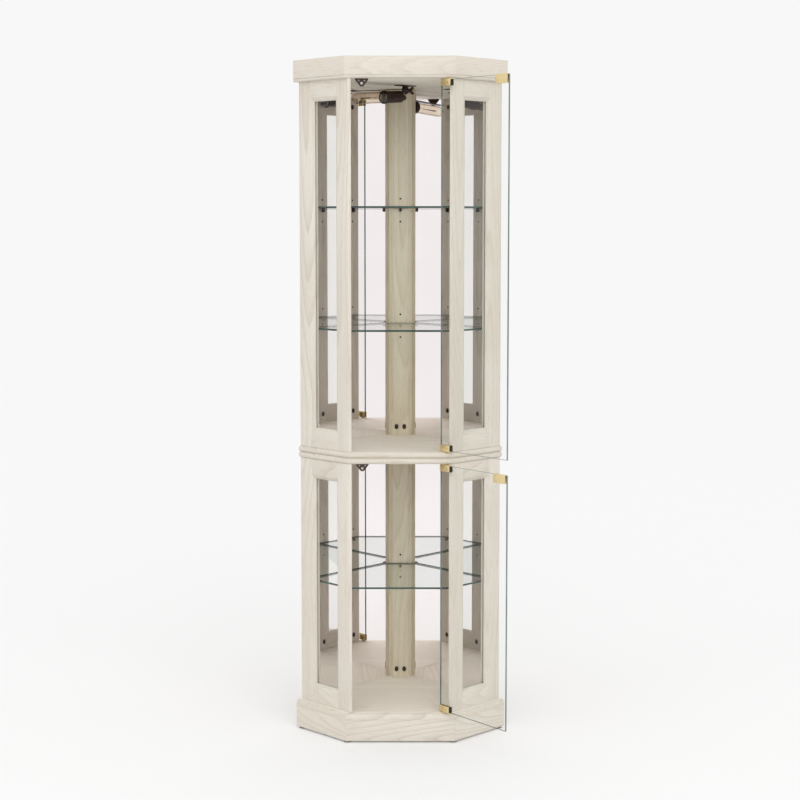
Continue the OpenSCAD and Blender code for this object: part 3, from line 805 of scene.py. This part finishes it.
def makeHinges(body):
    node = body + "_hinges"
    bottom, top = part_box(body + "_glass")
    x1 = door["overEdge"]
    x0 = x1 - door["clampLength"]
    build = bmesh.new()
    screws = []
    for z, upward in ((bottom.z, 1), (top.z, -1)):
        place = doorMatrix(body, z) @ Matrix.Diagonal((1, 1, upward, 1))
        addParts(build, clampParts(x0, x1), place)
        for side in (-1, 1):
            facing = (place.to_3x3() @ Vector((0, side, 0))).normalized()
            for along in door["screwsFromEnd"]:
                spot = Vector((x0 + along, side * door["clampHalf"], door["clampHeight"] / 2))
                screws.append((place @ spot, facing))
    name = node + "_clamps"
    linkPiece(name, finishedMesh(build, name, [brassPlate, blackRubber]), body, [node])
    placeStuds(node + "_screws", flatStuds, screws, door["screws"], (brassPlate, recessPaintedShade), body)


def makeHandle(body):
    node = body + "_handle"
    build = mergedCopy(node)
    easeEdges(build, door["clipEase"], 3)
    name = node + "_clip"
    linkPiece(name, finishedMesh(build, name, [brassPlate]), body, [node])


for body in ("upper_door", "lower_door"):
    makeHinges(body)
    makeHandle(body)
coatNode("pivot_bushes", brassPlate)
print("door furniture ready")

# Magnet catches: a brown body with a round magnet low on its front and a screw to each side
catch = {
    "round": 1.2 * mm,
    "magnetRadius": 3.4,
    "magnetDrop": 12.5 * mm,
    "screwAside": 7.5 * mm,
    "screwDrop": 5 * mm,
    "screws": {"Head radius": 2.1 * mm, "Head height": 0.45 * mm, "Recess": 2.6 * mm},
}


def makeCatches():
    bodies = mergedCopy("magnet_catches")
    easeEdges(bodies, catch["round"], 3)
    r = catch["magnetRadius"]
    magnet = inMetres([(-3, 0), (-3, r), (0.3, r), (0.5, r * 0.9), (0.5, 0)])
    parts = [(partMesh(bodies), 0)]
    screws = []
    for centre, low, high in solidsOf("magnet_catches"):
        front = Vector((centre.x, low.y, high.z))
        seat = front - Vector((0, 0, catch["magnetDrop"]))
        parts.append((turnedMesh("magnet", magnet, seat, (0, -1, 0), 28), 1))
        for side in (-1, 1):
            screws.append((front + Vector((side * catch["screwAside"], 0, -catch["screwDrop"])), (0, -1, 0)))
    build = bmesh.new()
    addParts(build, parts)
    mesh = finishedMesh(build, "catch_bodies", [brownPlastic, steelMagnet])
    linkPiece("catch_bodies", mesh, "cabinet", ["magnet_catches"])
    placeStuds("catch_screws", domeStuds, screws, catch["screws"],
               (steelMagnet, recessPaintedShade), "cabinet")


makeCatches()

# Lamp, in millimetres: tubular screw-in bulb in a ribbed socket under a flat bracket
lamp = {
    "azimuth": 225.0,
    "tilt": 4.5,
    "socketLength": 68,
    "socketRadius": 17.5,
    "ribs": 7,
    "ribStart": -16.0,
    "ribStep": 6.2,
    "bulbRadius": 15,
    "bulbLength": 110,
    "domeSteps": 8,
    "wall": 0.8,
    "threads": 6,
    "threadPitch": 3.1,
    "filamentTurns": 6,
    "wire": 0.5,
    "bracketEase": 0.6,
    "bossBehindRim": 84,
    "bracketScrewsOut": 22,
    "knuckleDrop": 14,
    "wingTilt": 38,
    "screws": {"Head radius": 3.4 * mm, "Head height": 1.3 * mm, "Recess": 3.6 * mm},
}
lampTurn = math.radians(lamp["azimuth"])
lampTilt = math.radians(lamp["tilt"])
lampOutward = Vector((math.cos(lampTurn), math.sin(lampTurn), 0))
lampAxis = lampOutward * math.cos(lampTilt) - Vector((0, 0, math.sin(lampTilt)))
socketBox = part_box("lamp_socket")
lampRim = (socketBox[0] + socketBox[1]) / 2 + lampAxis * lamp["socketLength"] / 2 * mm


def turnedOnLamp(name, profile, segments, finish, replaced=(), hollow=False):
    # distances run outwards from the socket's rim
    mesh = turnedMesh(name, inMetres(profile), lampRim, lampAxis, segments, [finish], hollow)
    linkPiece(name, mesh, "cabinet", replaced)


def makeSocket():
    r = lamp["socketRadius"]
    profile = [(-24, 0), (-24, 13.3), (-1.2, 13.3), (0, 14.4)]
    profile += [(0, r - 0.8), (-0.8, r), (-9.4, r), (-10, r - 1.4)]
    for k in range(lamp["ribs"]):
        at = lamp["ribStart"] - k * lamp["ribStep"]
        profile += [(at, r - 1.6), (at - 0.5, r - 2.6), (at - 1.7, r - 2.6), (at - 2.2, r - 1.6)]
    profile += [(-66, r - 1.6), (-67.5, r - 3.4), (-68, r - 6), (-68, 0)]
    turnedOnLamp("lamp_socket_shell", profile, 48, bronzeEnamel, ["lamp_socket"])


def makeBulb():
    b, length, wall, steps = (lamp[key] for key in ("bulbRadius", "bulbLength", "wall", "domeSteps"))
    outer = [(0.4, 11.4), (1.4, 12.4), (5.0, b - 0.7), (8.5, b)]
    for k in range(steps):
        swing = k / steps * quarter
        outer.append((length - b + b * math.sin(swing), b * math.cos(swing)))
    outer.append((length, 0))
    inner = [(along - (wall if q < wall else 0), max(q - wall, 0)) for along, q in reversed(outer)]
    turnedOnLamp("lamp_bulb_envelope", outer + inner, 40, blownGlass, ["lamp_bulb"],
                 hollow=True)
    cap = [(-23.5, 0), (-23.5, 4), (-21.5, 5), (-20, 11.8)]
    for k in range(lamp["threads"]):
        at = k * lamp["threadPitch"]
        cap += [(-19 + at, 12.9), (-17.5 + at, 11.9)]
    cap += [(-1.0, 12.4), (-0.2, 11.2), (-2.5, 9.0), (-2.5, 0)]
    turnedOnLamp("lamp_bulb_base", cap, 40, steelMagnet)
    stem = [(-2.0, 0), (-2.0, 9.6), (2.0, 9.0), (6, 5.6), (10, 3.6), (24, 2.6), (30, 3.6), (32, 2.6), (32, 0)]
    turnedOnLamp("lamp_bulb_stem", stem, 24, blownGlass)


def filamentRoutes():
    # (along, aside, above) points of two support wires and the zigzag between them
    routes = [[(30, side * 1.2, 0), (42, side * 4.5, 0), (82, side * 6.0, 0)] for side in (-1, 1)]
    turns = lamp["filamentTurns"]
    zigzag = []
    for k in range(turns + 1):
        zigzag.append((84 if k % 2 == 0 else 46, -6.0 + 12.0 * k / turns, 2.2 * math.sin(k * 2.1)))
    return routes + [zigzag]


def makeFilament():
    sideways = lampAxis.cross(Vector((0, 0, 1))).normalized()
    above = sideways.cross(lampAxis).normalized()
    curve = bpy.data.curves.new("filament", "CURVE")
    curve.dimensions = "3D"
    curve.bevel_depth = lamp["wire"] * mm
    curve.bevel_resolution = 1
    for route in filamentRoutes():
        spline = curve.splines.new("POLY")
        spline.points.add(len(route) - 1)
        for point, (d, s, u) in zip(spline.points, route):
            point.co = (*(lampRim + (lampAxis * d + sideways * s + above * u) * mm), 1)
    wire = baked(addToScene("filamentHolder", curve))
    wire.materials.clear()
    wire.materials.append(filamentGold)
    linkPiece("lamp_bulb_filament", wire, "cabinet")


def makeBracket():
    # the CAD bracket with eased edges, its screws, and the wing screw that locks the swivel
    build = mergedCopy("lamp_bracket")
    easeEdges(build, lamp["bracketEase"] * mm, 2)
    plate = finishedMesh(build, "lamp_bracket_plate", [bronzeEnamel])
    linkPiece("lamp_bracket_plate", plate, "cabinet", ["lamp_bracket"])
    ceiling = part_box("lamp_bracket")[1].z
    boss = lampRim - lampOutward * lamp["bossBehindRim"] * mm
    knuckle = Vector((boss.x, boss.y, ceiling - lamp["knuckleDrop"] * mm))
    barrel = [(-9, 0), (-9, 7.4), (-8, 8.4), (8, 8.4), (9, 7.4), (9, 4.4), (20, 3.6), (20, 0)]
    parts = [(turnedMesh("barrel", inMetres(barrel), knuckle, (1, 0, 0), 32), 0)]
    for side in (-1, 1):
        wing = blockMesh((-15, -1.8, -3.6), (15, 1.8, 3.6))
        turn = Matrix.Rotation(math.radians(side * lamp["wingTilt"]), 4, "Y")
        wing.transform(Matrix.Translation(knuckle + Vector((11 * mm, 0, 0))) @ turn @ Matrix.Scale(mm, 4))
        parts.append((wing, 0))
    build = bmesh.new()
    addParts(build, parts)
    wingScrew = finishedMesh(build, "lamp_swivel_wing_screw", [bronzeEnamel])
    linkPiece("lamp_swivel_wing_screw", wingScrew, "cabinet")
    screws = []
    for side in (-1, 1):
        place = boss + lampOutward * side * lamp["bracketScrewsOut"] * mm
        screws.append(((place.x, place.y, ceiling - 2 * mm), (0, 0, -1)))
    placeStuds("lamp_bracket_screws", domeStuds, screws, lamp["screws"],
               (steelMagnet, recessPaintedShade), "cabinet")


makeSocket()
makeBulb()
makeFilament()
makeBracket()
print("lamp ready")

# Glides under the plinth and screws that hold the back boards
glides = {"radius": 10.0, "height": 5.0}
backScrews = {
    "spacing": 150 * mm,
    "margin": 9 * mm,
    "sizes": {"Head radius": 3.2 * mm, "Head height": 1.1 * mm, "Recess": 3.6 * mm},
}


def makeGlides():
    r, tall = glides["radius"], glides["height"]
    profile = [(0, 0), (0, r - 2.0), (0.6, r - 0.8), (1.6, r), (tall, r), (tall, 0)]
    seats = [((centre.x, centre.y, low.z), (0, 0, 1)) for centre, low, high in solidsOf("feet")]
    mesh = turnedSet("floor_glides", profile, seats, 32, greyNylon)
    linkPiece("floor_glides", mesh, "cabinet", ["feet"])


def screwsOn(node):
    # a row down each long edge of a back board, and one more at the middle of its ends
    low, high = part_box(node)
    side = 1 if low.x + high.x > 0 else -1
    outward = Vector((side * diagonal, diagonal, 0))
    along = Vector((side * diagonal, -diagonal, 0))
    nearX, farX = sorted((abs(low.x), abs(high.x)))
    width = (farX - nearX) / diagonal
    face = max(v.co.dot(outward) for v in nodes[node].data.vertices)
    margin = backScrews["margin"]
    run = high.z - low.z - 2 * margin
    rows = int(run / backScrews["spacing"]) + 1
    points = []
    for i in range(rows + 1):
        reaches = (margin, width - margin) if 0 < i < rows else (margin, width / 2, width - margin)
        for reach in reaches:
            place = Vector((side * nearX, high.y, 0)) + along * reach
            place += outward * (face - place.dot(outward))
            points.append(((place.x, place.y, low.z + margin + run * i / rows), outward))
    return points


makeGlides()
boardScrews = [point for node in nodesIn("back_board") for point in screwsOn(node)]
placeStuds("back_board_screws", domeStuds, boardScrews, backScrews["sizes"],
           (steelMagnet, recessPaintedShade), "cabinet")
print("glides and back screws ready")
